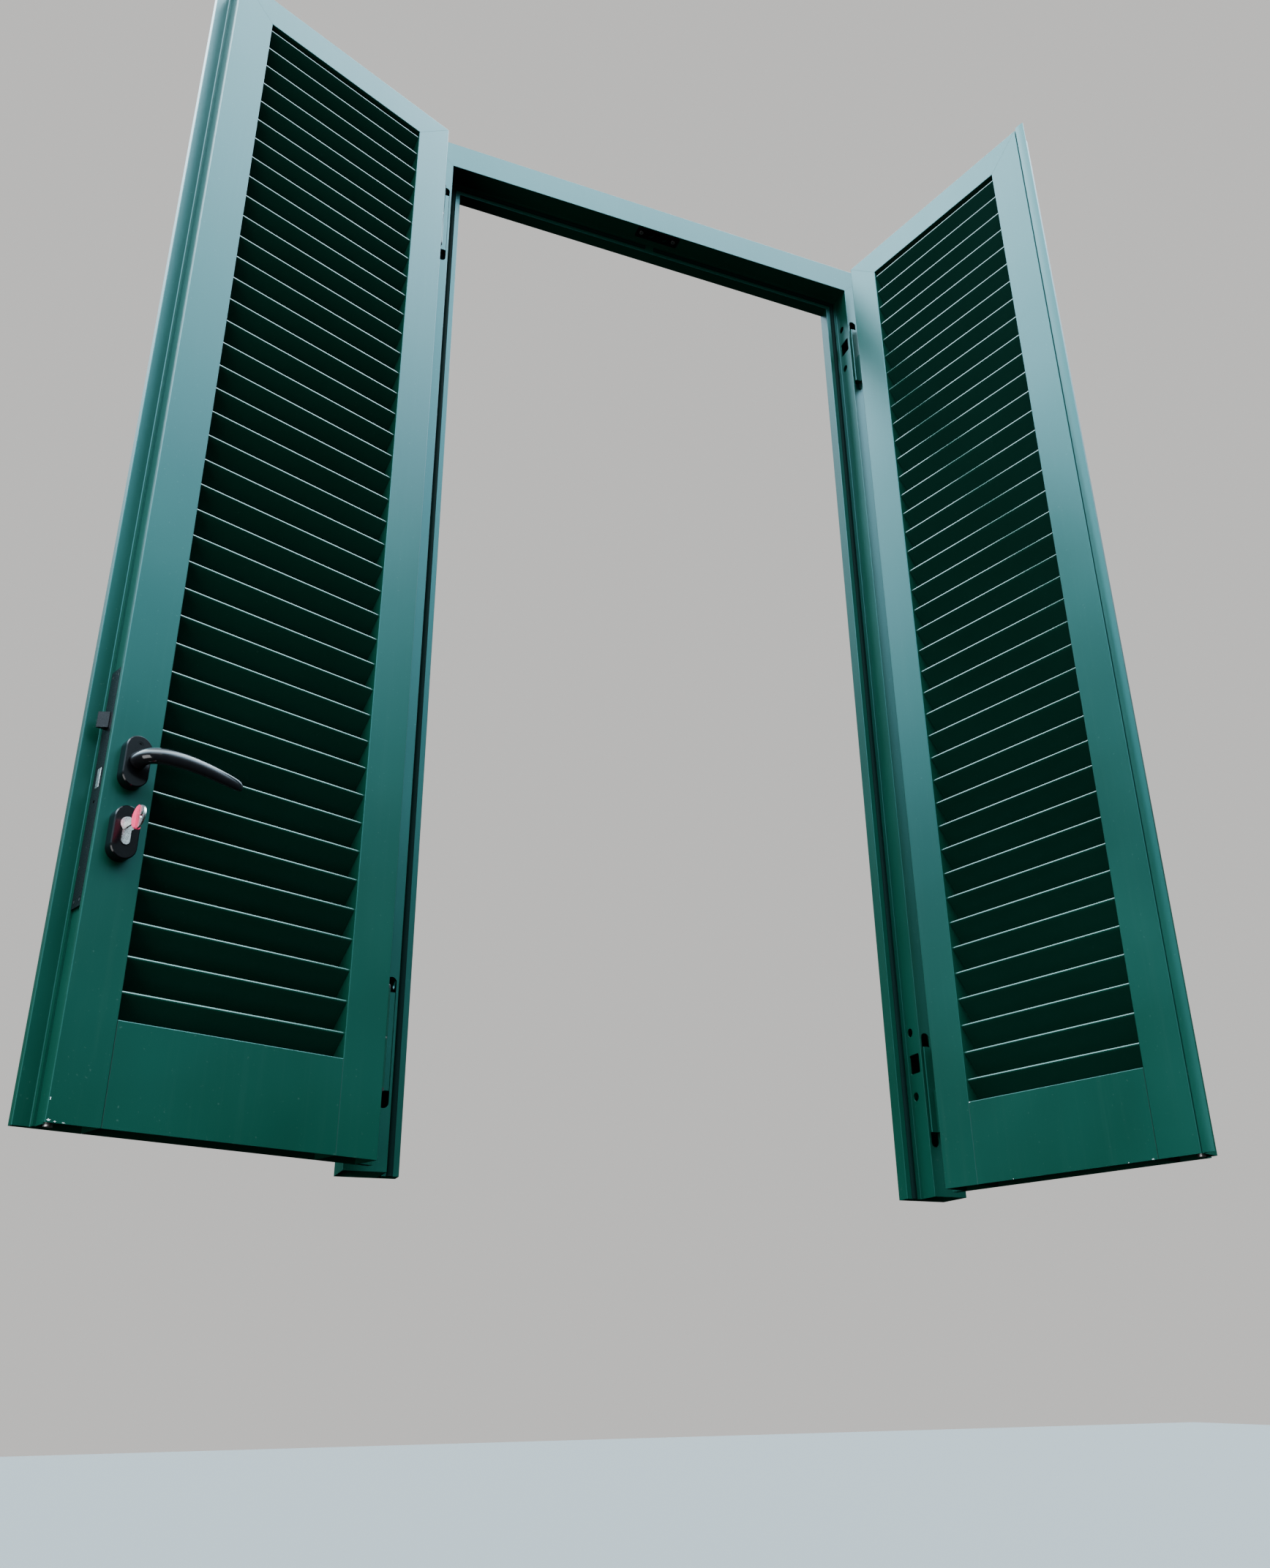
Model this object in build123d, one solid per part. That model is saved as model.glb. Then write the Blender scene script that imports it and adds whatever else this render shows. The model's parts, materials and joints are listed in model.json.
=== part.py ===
from build123d import *
import os

# A pair of outward-opening louvred shutters on a three-sided aluminium frame.
# Millimetres, +Z up, +Y to the room. The origin is on the back face of the frame's
# head, midway between the jambs and level with the underside of the head's outer face.
# A leaf is drawn closed and square in its own frame: X runs from its hinge edge to its
# leading edge, -Y from its room side to its street side, Z down from its top edge.
# It is then mirrored if it is the right one, and swung out about its hinge pin.

# Window opening and frame section
opening_width = 820.0
opening_height = 1778.5
frame_face = 56.0
frame_depth = 60.0
rebate_depth = 37.0
stop_width = 24.0
frame_wall = 2.0
frame_edge_radius = 0.8

# Gaps of the closed leaves
side_gap = 5.0
top_gap = 3.0
sill_gap = 3.5
meeting_gap = 6.0
stop_gap = 4.0

# Leaf sections
leaf_depth = 48.0
stile_width = 59.0
top_rail_height = 55.0
bottom_rail_height = 116.5
bottom_rail_fall = 34.0
flange_overlap = 19.0
flange_thickness = 10.0
leaf_wall = 1.8
leaf_edge_radius = 1.2
rail_channel_depth = 14.0
meeting_rebate_clearance = 1.5

# How far each leaf stands open
left_open_angle = 157.8
right_open_angle = 105.3

# Slats
slat_pitch = 40.0
first_slat_drop = 10.5
slat_setback = 3.0
slat_lip_radius = 2.4
slat_chord = 59.0
slat_lean = 49.0
slat_belly = 1.1
slat_thickness = 6.0
slat_edge_thickness = 1.6
slat_end_gap = 0.3
slat_lip_steps = 6
slat_blade_steps = 4

# Hinges, with the drop of each hinge's middle below the head
hinge_length = 130.0
hinge_barrel_radius = 7.0
hinge_pin_radius = 4.0
hinge_wing_thickness = 3.0
hinge_wing_reach = 36.0
hinge_plate_thickness = 3.0
hinge_ring_height = 2.4
hinge_running_gap = 0.3
pin_fit = 0.02
pin_running_fit = 0.06
barrel_side_gap = 0.5
hinge_key_width = 12.0
hinge_key_depth = 8.0
hinge_slot_offset = 10.5
hinge_slot_width = 14.0
hinge_slot_margin = 22.0
left_top_hinge_drop = 147.0
left_bottom_hinge_rise = 166.5
right_top_hinge_drop = 168.0
right_bottom_hinge_rise = 158.5
wing_screw_radius = 2.0
wing_screw_length = 12.0
wing_screw_pitch = 18.0

# Openings in the jambs beside each hinge
jamb_window_width = 26.0
jamb_window_height = 30.0
jamb_window_corner = 3.0
jamb_window_setback = 19.0
top_window_drop = 134.0
bottom_window_rise = 200.5
access_hole_radius = 7.0
wall_screw_radius = 3.25
wall_screw_setback = 24.0
wall_screw_spacing = 100.0

# Seal on the stop
seal_width = 9.0
seal_height = 3.6
seal_inset = 7.0
seal_strip_gap = 1.5

# Lock in the left leaf's leading stile, placed from the spindle, which has a rise above
# the leaf's foot
spindle_rise = 410.0
faceplate_width = 24.0
faceplate_length = 298.0
faceplate_thickness = 3.0
faceplate_rise = 122.0
faceplate_fit = 0.5
faceplate_screw_length = 8.0
lock_line_depth = 19.0
lock_backset = 29.0
lock_case_end_gap = 24.0
lock_case_depth = 43.0
lock_case_thickness = 16.0
case_clearance = 0.3
cylinder_below_spindle = 79.0
latch_above_spindle = 54.0
bolt_below_spindle = 19.5
latch_height = 20.0
latch_thickness = 10.0
latch_projection = 11.0
latch_length = 38.0
bolt_height = 26.0
bolt_thickness = 10.0
bolt_length = 34.0
bolt_clearance = 0.3

# Handle, escutcheon, cylinder and key
rosette_width = 31.0
rosette_height = 64.0
rosette_thickness = 15.0
rosette_edge = 1.2
escutcheon_below_cylinder = 9.0
handle_reach = 42.0
handle_length = 115.0
handle_droop = 5.0
handle_root_radius = 10.0
handle_tip_height = 11.0
handle_running_gap = 0.3
spindle_size = 8.0
cylinder_radius = 8.5
cylinder_leg_width = 10.0
cylinder_height = 33.0
cylinder_projection = 1.5
cylinder_inner_length = 30.0
cylinder_clearance = 0.3
plug_radius = 6.5
plug_fit = 0.08
key_width = 8.0
key_thickness = 2.2
key_insertion = 26.0
key_neck = 15.0
key_head_radius = 13.5
key_cap_thickness = 6.5
key_ring_hole_radius = 3.5

# Rods along the leading stiles, their guides and the plates that take them
rod_radius = 5.0
rod_edge_distance = 11.0
rod_fit = 0.15
rod_top_recess = 1.0
rod_foot_show = 1.5
rod_travel = 18.0
guide_size = 11.0
guide_height = 16.0
guide_spacing = 123.0
guide_clearance = 16.0
shoot_rod_length = 258.0
shoot_tab_width = 5.0
shoot_tab_height = 12.0
shoot_tab_projection = 3.0
head_plate_length = 86.0
head_plate_width = 24.0
head_plate_thickness = 1.5
strike_plate_length = 138.0
strike_plate_thickness = 2.0
strike_margin = 1.5

# Cover strip on the right leaf's leading edge
strip_groove = 4.4
strip_width = 14.5
strip_thickness = 2.4
strip_standoff = 0.8
strip_lip = 0.8
strip_web_thickness = 1.8
strip_web_depth = 3.0

# Corner keys hidden in the mitres
corner_key_arm = 46.0
corner_key_width = 10.0
corner_key_depth = 20.0
corner_key_seat = 0.2

# Places worked out from the sizes above
reveal_x = opening_width / 2
face_y = -frame_depth
stop_y = face_y + rebate_depth
leaf_face_y = stop_y - stop_gap
leaf_width = (opening_width - 2 * side_gap - meeting_gap) / 2
leaf_height = opening_height - top_gap - sill_gap
leaf_front_stand = leaf_depth + stop_gap - rebate_depth
pin_side = flange_overlap - side_gap + hinge_barrel_radius + barrel_side_gap
pin_out = leaf_front_stand + hinge_wing_thickness / 2
pin_x = reveal_x + pin_side
pin_y = face_y - pin_out
leaf_pin_x = -(side_gap + pin_side)
leaf_pin_y = pin_y - leaf_face_y
flange_back = leaf_depth - flange_thickness
flange_rise = flange_overlap * top_rail_height / stile_width
slat_zone = leaf_height - top_rail_height - bottom_rail_height
slat_count = int(slat_zone / slat_pitch)
barrel_height = (hinge_length - hinge_ring_height - hinge_running_gap) / 2
groove_floor = leaf_width - faceplate_thickness
rod_x = leaf_width - rod_edge_distance
rod_y = -lock_line_depth
lock_x = leaf_width - lock_backset
meeting_rebate = flange_overlap - meeting_gap + meeting_rebate_clearance
meeting_depth = flange_back - meeting_rebate_clearance
left_bottom_hinge_drop = opening_height - left_bottom_hinge_rise
right_bottom_hinge_drop = opening_height - right_bottom_hinge_rise
bottom_window_drop = opening_height - bottom_window_rise
spindle_drop = leaf_height - spindle_rise
faceplate_top_drop = spindle_drop - faceplate_rise
cylinder_drop = spindle_drop + cylinder_below_spindle
latch_drop = spindle_drop - latch_above_spindle
bolt_drop = spindle_drop + bolt_below_spindle
escutcheon_drop = cylinder_drop + escutcheon_below_cylinder
lock_case_height = faceplate_length - 2 * lock_case_end_gap
case_top_drop = faceplate_top_drop + lock_case_end_gap
case_bottom_drop = case_top_drop + lock_case_height


def block(x0, x1, y0, y1, z0, z1):
    """Straight bar between two opposite corners."""
    bar = Box(x1 - x0, y1 - y0, z1 - z0)
    return Pos((x0 + x1) / 2, (y0 + y1) / 2, (z0 + z1) / 2) * bar


def rod_along(direction, radius, length, start):
    """Round bar of a given length from a start point along one direction."""
    return extrude(Plane(start, z_dir=direction) * Circle(radius), length)


def left_leaf_placed(part):
    """Closed left leaf, swung out about its hinge pin."""
    closed = Pos(-reveal_x + side_gap, leaf_face_y, -top_gap) * part
    return closed.rotate(Axis((-pin_x, pin_y, 0), (0, 0, 1)), -left_open_angle)


def right_leaf_placed(part):
    """The same frame mirrored for the right leaf, swung out about its own pin."""
    closed = Pos(reveal_x - side_gap, leaf_face_y, -top_gap) * mirror(part, Plane.YZ)
    return closed.rotate(Axis((pin_x, pin_y, 0), (0, 0, 1)), right_open_angle)


# Shared sketches

def between(x0, x1, y0, y1):
    """Rectangle between two opposite corners."""
    return Pos((x0 + x1) / 2, (y0 + y1) / 2) * Rectangle(x1 - x0, y1 - y0)


def outline(*points):
    """Face inside a closed run of straight lines."""
    return make_face(Polyline(*points, close=True))


def stadium(width, height):
    """Upright slot shape with round ends."""
    return Rectangle(width, height - width) + [
        Pos(0, side * (height - width) / 2) * Circle(width / 2) for side in (-1, 1)
    ]


def level_plane(z):
    """Plane seen from above, for sections drawn in X and Y."""
    return Plane((0, 0, z), x_dir=(1, 0, 0), z_dir=(0, 0, 1))


def cross_plane(x):
    """Plane for sections drawn in Z and Y and pushed along -X."""
    return Plane((x, 0, 0), x_dir=(0, 0, 1), z_dir=(-1, 0, 0))


def room_plane(x, y, z):
    """Plane seen from the room, for shapes pushed towards the street."""
    return Plane((x, y, z), x_dir=(1, 0, 0), z_dir=(0, -1, 0))


# Frame

def frame_section():
    """Two-chamber section: x runs outwards from the reveal, y along the frame's depth."""
    profile = outline(
        (0, face_y),
        (frame_face, face_y),
        (frame_face, 0),
        (-stop_width, 0),
        (-stop_width, stop_y),
        (0, stop_y),
    )
    rounded = fillet(profile.vertices(), frame_edge_radius)
    main_chamber = between(frame_wall, frame_face - frame_wall, face_y + frame_wall, -frame_wall)
    stop_chamber = between(frame_wall - stop_width, 0, stop_y + frame_wall, -frame_wall)
    return rounded - main_chamber - stop_chamber


def frame_bar(section, side):
    """A section run up one side of the opening and mitred at the head."""
    bar = extrude(level_plane(-opening_height) * section, opening_height + frame_face)
    bar = Pos(reveal_x, 0, 0) * bar
    bar = split(bar, bisect_by=Plane((reveal_x, 0, 0), z_dir=(1, 0, -1)), keep=Keep.TOP)
    return bar if side > 0 else mirror(bar, Plane.YZ)


def head_bar(section):
    """The same section run across the head and mitred at both ends."""
    half_length = reveal_x + frame_face
    bar = extrude(cross_plane(half_length) * section, 2 * half_length)
    for side in (-1, 1):
        mitre = Plane((side * reveal_x, 0, 0), z_dir=(-side, 0, 1))
        bar = split(bar, bisect_by=mitre, keep=Keep.TOP)
    return bar


def frame_head():
    """Head with a hole for each leaf's top rod."""
    head = head_bar(frame_section())
    for side in (-1, 1):
        start = (side * (meeting_gap / 2 + rod_edge_distance), leaf_face_y + rod_y, -frame_wall)
        head -= rod_along((0, 0, 1), rod_radius + 1, 3 * frame_wall, start)
    return head


def frame_jamb(side, hinge_drops):
    """Jamb with the hinges' slots, the reveal's openings and the fixing-screw holes."""
    jamb = frame_bar(frame_section(), side)
    inner_side = side * reveal_x
    for drop in (top_window_drop, bottom_window_drop):
        middle = (inner_side - side * frame_wall, face_y + jamb_window_setback, -drop)
        window_plane = Plane(middle, x_dir=(0, 1, 0), z_dir=(side, 0, 0))
        window = RectangleRounded(jamb_window_width, jamb_window_height, jamb_window_corner)
        jamb -= extrude(window_plane * window, 3 * frame_wall)
        for step in (-1, 1):
            z = -drop + step * wall_screw_spacing / 2
            hole_y = face_y + wall_screw_setback
            start = (inner_side - side * frame_wall, hole_y, z)
            jamb -= rod_along((side, 0, 0), access_hole_radius, 3 * frame_wall, start)
            outer_start = (inner_side + side * (frame_face - 2 * frame_wall), hole_y, z)
            jamb -= rod_along((side, 0, 0), wall_screw_radius, 3 * frame_wall, outer_start)
    for drop in hinge_drops:
        slot = stadium(hinge_slot_width, hinge_length + 2 * hinge_slot_margin)
        slot_x = side * (reveal_x + hinge_slot_offset)
        slot_plane = Plane((slot_x, face_y - frame_wall, -drop), x_dir=(1, 0, 0), z_dir=(0, 1, 0))
        jamb -= extrude(slot_plane * slot, 2.5 * frame_wall)
    return jamb


def corner_key(width_centre, height_centre, side_x, top_z, outward, y0, y1):
    """Square-cornered key with one arm along each of two mitred bars."""
    half = corner_key_width / 2
    corner_x = side_x + outward * width_centre
    corner_z = top_z + height_centre
    reach = corner_key_arm + half
    x_ends = sorted((corner_x + outward * half, corner_x - outward * reach))
    upright_x = sorted((corner_x - half, corner_x + half))
    across = block(x_ends[0], x_ends[1], y0, y1, corner_z - half, corner_z + half)
    upright = block(upright_x[0], upright_x[1], y0, y1, corner_z - reach, corner_z + half)
    return across + upright


def frame_corner_keys():
    """Keys in the main chamber, against the frame's outer face."""
    y0 = face_y + frame_wall + corner_key_seat
    middle = frame_face / 2
    return [
        corner_key(middle, middle, side * reveal_x, 0, side, y0, y0 + corner_key_depth)
        for side in (-1, 1)
    ]


def seal_section():
    """Rounded strip standing on the front of the stop."""
    near = -seal_inset
    far = -seal_inset - seal_width
    back = Line((far, stop_y), (near, stop_y))
    front = ThreePointArc((near, stop_y), ((near + far) / 2, stop_y - seal_height), (far, stop_y))
    return make_face(back + front)


def frame_seals():
    """Seal along the head and down both jambs, parted where the cover strip's top closes."""
    section = seal_section()
    strip_far_x = reveal_x - side_gap - leaf_width - strip_groove - strip_width
    strip_near_x = strip_far_x + strip_width + strip_lip
    part_for_strip = block(strip_far_x - seal_strip_gap, strip_near_x + seal_strip_gap,
                           stop_y - seal_height, stop_y, -stop_width, 0)
    return [head_bar(section) - part_for_strip, frame_bar(section, -1), frame_bar(section, 1)]


def head_strike_plate():
    """Plate under the head that takes both top rods and holds with two screws."""
    middle_y = leaf_face_y + rod_y
    plate_plane = Plane((0, middle_y, -head_plate_thickness), x_dir=(1, 0, 0), z_dir=(0, 0, 1))
    shape = RectangleRounded(head_plate_length, head_plate_width, 3)
    plate = extrude(plate_plane * shape, head_plate_thickness)
    for side in (-1, 1):
        hole_x = side * (meeting_gap / 2 + rod_edge_distance)
        start = (hole_x, middle_y, -head_plate_length)
        plate -= rod_along((0, 0, 1), rod_radius + 1, 2 * head_plate_length, start)
    for start in strike_screw_spots():
        plate -= rod_along((0, 0, 1), wing_screw_radius + pin_fit, head_plate_length, start)
    return plate


def strike_screw_spots():
    """Undersides of the two screws of the head's plate."""
    spot_x = head_plate_length / 2 - 10
    return [(side * spot_x, leaf_face_y + rod_y, -head_plate_thickness) for side in (-1, 1)]


def strike_screws():
    """Two low-headed screws through the plate."""
    heads = []
    for x, y, z in strike_screw_spots():
        shank = rod_along((0, 0, 1), wing_screw_radius, head_plate_thickness, (x, y, z))
        heads.append(shank + rod_along((0, 0, -1), 2 * wing_screw_radius, 0.9, (x, y, z)))
    return heads


# Hinges

def hinge_base(side, drop):
    """Frame half: lower barrel on a foot, and a plate keyed into the jamb's slot."""
    low = -drop - hinge_length / 2
    high = -drop + hinge_length / 2
    radius = hinge_barrel_radius
    slot_x = reveal_x + hinge_slot_offset
    key_half = hinge_key_width / 2
    barrel = rod_along((0, 0, 1), radius, barrel_height, (pin_x, pin_y, low))
    foot = block(pin_x - radius, pin_x + radius, pin_y, face_y, low, low + barrel_height)
    plate_front = face_y - hinge_plate_thickness
    plate = block(slot_x - key_half, pin_x + radius, plate_front, face_y, low, high)
    front_edges = plate.edges().filter_by(Axis.Z).group_by(Axis.Y)[0]
    plate = fillet(front_edges, hinge_plate_thickness / 2)
    key = block(slot_x - key_half, slot_x + key_half, face_y, face_y + hinge_key_depth, low, high)
    bore = rod_along((0, 0, 1), hinge_pin_radius + pin_fit, hinge_length, (pin_x, pin_y, low))
    base = barrel + foot + plate + key - bore
    return base if side > 0 else mirror(base, Plane.YZ)


def hinge_pin(side, drop):
    """Plain pin standing a little past the barrels into both caps."""
    grip = hinge_plate_thickness
    start = (side * pin_x, pin_y, -drop - hinge_length / 2 - grip)
    return rod_along((0, 0, 1), hinge_pin_radius, hinge_length + 2 * grip, start)


def hinge_ring(side, drop):
    """Bearing ring on top of the lower barrel."""
    start = (side * pin_x, pin_y, -drop - hinge_length / 2 + barrel_height)
    ring = rod_along((0, 0, 1), hinge_barrel_radius - 0.2, hinge_ring_height, start)
    return ring - rod_along((0, 0, 1), hinge_pin_radius + pin_fit, hinge_ring_height, start)


def hinge_caps(side, drop):
    """Domed caps pushed onto both ends of the pin."""
    caps = []
    gaps = {1: hinge_running_gap, -1: 0.0}
    for end in (1, -1):
        start = (side * pin_x, pin_y, -drop + end * (hinge_length / 2 + gaps[end]))
        cap = rod_along((0, 0, end), hinge_barrel_radius, 2 * hinge_plate_thickness, start)
        rim = cap.edges().filter_by(GeomType.CIRCLE).sort_by(Axis.Z)[-1 if end > 0 else 0]
        cap = chamfer(rim, 0.6 * hinge_plate_thickness)
        depth = hinge_plate_thickness - gaps[end] + pin_fit
        caps.append(cap - rod_along((0, 0, end), hinge_pin_radius + pin_fit, depth, start))
    return caps


def hinge_wing(drop):
    """Leaf half: upper barrel and the plate screwed to the leaf's street side."""
    high = top_gap - drop + hinge_length / 2
    low = high - barrel_height
    half = hinge_wing_thickness / 2
    end_x = leaf_pin_x + hinge_wing_reach
    barrel = rod_along((0, 0, 1), hinge_barrel_radius, barrel_height, (leaf_pin_x, leaf_pin_y, low))
    plate = block(leaf_pin_x, end_x, leaf_pin_y - half, leaf_pin_y + half, low, high)
    plate = fillet(plate.edges().filter_by(Axis.Y).group_by(Axis.X)[-1], 2 * hinge_wing_thickness)
    wing = barrel + plate
    wing -= rod_along((0, 0, 1), hinge_pin_radius + pin_running_fit, barrel_height,
                      (leaf_pin_x, leaf_pin_y, low))
    for spot in wing_screw_spots(drop):
        start = (spot[0], leaf_pin_y - half, spot[1])
        wing -= rod_along((0, 1, 0), wing_screw_radius + 0.2, hinge_wing_thickness, start)
    return wing


def wing_screw_spots(drop):
    """Places of a wing's three screws as X and Z."""
    middle = top_gap - drop + (hinge_length - barrel_height) / 2
    screw_x = leaf_pin_x + hinge_wing_reach - 2.2 * wing_screw_radius
    return [(screw_x, middle + step * wing_screw_pitch) for step in (-1, 0, 1)]


def wing_screws(drops):
    """Pan-headed screws through the wings into the stile."""
    screws = []
    head_y = -leaf_depth - hinge_wing_thickness
    for drop in drops:
        for x, z in wing_screw_spots(drop):
            shank = rod_along((0, 1, 0), wing_screw_radius, wing_screw_length, (x, head_y, z))
            head = rod_along((0, -1, 0), 1.8 * wing_screw_radius, wing_screw_radius, (x, head_y, z))
            rim = head.edges().filter_by(GeomType.CIRCLE).sort_by(Axis.Y)[0]
            screws.append(shank + chamfer(rim, wing_screw_radius / 3))
    return screws


# Leaf bars

def hinge_corner_plane():
    """Mitre between the hinge stile and the top rail."""
    return Plane((0, 0, 0), z_dir=(top_rail_height, 0, stile_width))


def lead_corner_plane():
    """Mitre between the leading stile and the top rail."""
    return Plane((leaf_width, 0, 0), z_dir=(-top_rail_height, 0, stile_width))


def hinge_stile(drops):
    """Stile with the flange that laps the frame, drilled for the wings."""
    profile = outline(
        (0, 0),
        (stile_width, 0),
        (stile_width, -leaf_depth),
        (-flange_overlap, -leaf_depth),
        (-flange_overlap, -flange_back),
        (0, -flange_back),
    )
    section = fillet(profile.vertices(), leaf_edge_radius)
    section -= between(leaf_wall, stile_width - leaf_wall, leaf_wall - leaf_depth, -leaf_wall)
    section -= flange_chamber()
    bar = extrude(level_plane(-leaf_height) * section, leaf_height + flange_rise)
    bar = split(bar, bisect_by=hinge_corner_plane(), keep=Keep.BOTTOM)
    for drop in drops:
        for x, z in wing_screw_spots(drop):
            start = (x, -leaf_depth - leaf_wall, z)
            bar -= rod_along((0, 1, 0), wing_screw_radius + pin_fit, 3 * leaf_wall, start)
    return bar


def flange_chamber():
    """Hollow of a flange beyond the leaf's edge."""
    return between(leaf_wall - flange_overlap, 0, leaf_wall - leaf_depth, -flange_back - leaf_wall)


def lead_bar(section):
    """Leading stile's bar under the mitre."""
    bar = extrude(level_plane(-leaf_height) * section, leaf_height + flange_rise)
    return split(bar, bisect_by=lead_corner_plane(), keep=Keep.BOTTOM)


def lock_stile():
    """Left leading stile with its flange, the groove of the faceplate and the lock's holes."""
    inner_x = leaf_width - stile_width
    profile = outline(
        (inner_x, 0),
        (leaf_width, 0),
        (leaf_width, -flange_back),
        (leaf_width + flange_overlap, -flange_back),
        (leaf_width + flange_overlap, -leaf_depth),
        (inner_x, -leaf_depth),
    )
    section = fillet(profile.vertices(), leaf_edge_radius)
    groove_half = faceplate_width / 2 + faceplate_fit
    section -= between(groove_floor, leaf_width, -lock_line_depth - groove_half,
                       groove_half - lock_line_depth)
    section -= between(inner_x + leaf_wall, groove_floor - leaf_wall, leaf_wall - leaf_depth,
                       -leaf_wall)
    section -= Pos(leaf_width, 0) * mirror(flange_chamber(), Plane.YZ)
    bar = lead_bar(section)
    case_half = lock_case_thickness / 2 + case_clearance
    bar -= block(groove_floor - 2 * leaf_wall, groove_floor, -lock_line_depth - case_half,
                 case_half - lock_line_depth, -case_bottom_drop - case_clearance,
                 case_clearance - case_top_drop)
    bar -= extrude(room_plane(lock_x, 0, -spindle_drop) * Circle(spindle_size), 2 * leaf_wall)
    hole = cylinder_profile(cylinder_clearance)
    bar -= extrude(room_plane(lock_x, 0, -cylinder_drop) * hole, 2 * leaf_wall)
    for y, z in faceplate_screw_spots():
        start = (groove_floor - 2 * leaf_wall, y, z)
        bar -= rod_along((1, 0, 0), wing_screw_radius + pin_fit, 3 * leaf_wall, start)
    return bar


def meeting_stile():
    """Right leading stile, stepped back where the left leaf's flange lies, with the lock's pockets."""
    inner_x = leaf_width - stile_width
    step_x = leaf_width - meeting_rebate
    profile = outline(
        (inner_x, 0),
        (leaf_width, 0),
        (leaf_width, -meeting_depth),
        (step_x, -meeting_depth),
        (step_x, -leaf_depth),
        (inner_x, -leaf_depth),
    )
    section = fillet(profile.vertices(), leaf_edge_radius)
    section -= between(inner_x + leaf_wall, leaf_width - leaf_wall, leaf_wall - meeting_depth,
                       -leaf_wall)
    section -= between(inner_x + leaf_wall, step_x - leaf_wall, leaf_wall - leaf_depth,
                       leaf_wall - meeting_depth)
    bar = lead_bar(section)
    for drop, height, thickness in strike_pockets():
        half = thickness / 2
        bar -= block(leaf_width - 2 * leaf_wall, leaf_width, -lock_line_depth - half,
                     half - lock_line_depth, -drop - height / 2, height / 2 - drop)
    tab_half = shoot_tab_width / 2 + strike_margin
    for low, high in shoot_slots():
        bar -= block(leaf_width - 2 * leaf_wall, leaf_width, rod_y - tab_half, rod_y + tab_half,
                     low, high)
    return bar


def strike_pockets():
    """Latch and bolt openings of the right leaf as drop, height and thickness."""
    margin = 2 * strike_margin
    return [
        (latch_drop, latch_height + margin, latch_thickness + margin),
        (bolt_drop, bolt_height + margin, bolt_thickness + margin),
    ]


def top_rail(stepped):
    """Top rail mitred at both ends, with a hole for the rod."""
    profile = outline(
        (-top_rail_height, 0),
        (0, 0),
        (0, -flange_back),
        (flange_rise, -flange_back),
        (flange_rise, -leaf_depth),
        (-top_rail_height, -leaf_depth),
    )
    section = fillet(profile.vertices(), leaf_edge_radius)
    section -= between(leaf_wall - top_rail_height, -leaf_wall, leaf_wall - leaf_depth, -leaf_wall)
    section -= between(0, flange_rise - leaf_wall, leaf_wall - leaf_depth, -flange_back - leaf_wall)
    end_x = leaf_width + flange_overlap
    rail = extrude(cross_plane(end_x) * section, end_x + flange_overlap)
    rail = split(rail, bisect_by=hinge_corner_plane(), keep=Keep.TOP)
    rail = split(rail, bisect_by=lead_corner_plane(), keep=Keep.TOP)
    if stepped:
        rail -= block(leaf_width - meeting_rebate, end_x, -leaf_depth, -meeting_depth,
                      -top_rail_height, flange_rise)
    hole_start = (rod_x, rod_y, -3 * leaf_wall)
    return rail - rod_along((0, 0, 1), rod_radius + rod_fit, 6 * leaf_wall, hole_start)


def bottom_rail():
    """Bottom rail between the stiles: sloped top and an open channel below."""
    top_z = bottom_rail_height - leaf_height
    profile = outline(
        (-leaf_height, 0),
        (top_z, 0),
        (top_z - bottom_rail_fall, -leaf_depth),
        (-leaf_height, -leaf_depth),
    )
    section = fillet(profile.vertices().sort_by(Axis.X)[-2:], leaf_edge_radius)
    web_z = -leaf_height + rail_channel_depth
    inner_y = leaf_wall - leaf_depth
    section -= outline(
        (web_z + leaf_wall, -leaf_wall),
        (top_z - 2 * leaf_wall, -leaf_wall),
        (top_z - bottom_rail_fall - leaf_wall, inner_y),
        (web_z + leaf_wall, inner_y),
    )
    section -= between(-leaf_height, web_z, inner_y, -leaf_wall)
    far_x = leaf_width - stile_width
    return extrude(cross_plane(far_x) * section, far_x - stile_width)


def leaf_corner_keys():
    """Keys in both top corners, against the street-side wall."""
    y0 = leaf_wall + corner_key_seat - leaf_depth
    y1 = y0 + corner_key_depth
    across = -stile_width / 2
    down = -top_rail_height / 2
    return [
        corner_key(across, down, 0, 0, -1, y0, y1),
        corner_key(across, down, leaf_width, 0, 1, y0, y1),
    ]


def slat_section():
    """Rounded lip at the room side and a thin curved blade leaning down to the street."""
    lip = slat_lip_radius
    tip = slat_edge_thickness / 2
    bulge = slat_thickness / 2
    middle = slat_chord / 2
    nose = ThreePointArc((0, lip), (-lip, 0), (0, -lip))
    under = ThreePointArc((0, -lip), (middle, slat_belly - bulge), (slat_chord, -tip))
    over = ThreePointArc((slat_chord, tip), (middle, slat_belly + bulge), (0, lip))
    corners = []
    for arc, steps in ((nose, slat_lip_steps), (under, slat_blade_steps), (over, slat_blade_steps)):
        corners += [arc @ (k / steps) for k in range(steps)]
        if arc is under:
            corners.append(arc @ 1)
    return make_face(Polyline(*corners, close=True))


def slats():
    """The row of slats between the stiles."""
    start_x = leaf_width - stile_width - slat_end_gap
    length = start_x - stile_width - slat_end_gap
    turned = Rot(0, 0, -90 - slat_lean) * slat_section()
    first = extrude(cross_plane(start_x) * turned, length)
    lip_y = -slat_setback - slat_lip_radius
    first_z = -top_rail_height - first_slat_drop
    return [Pos(0, lip_y, first_z - k * slat_pitch) * first for k in range(slat_count)]


# Lock set of the left leaf

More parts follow.
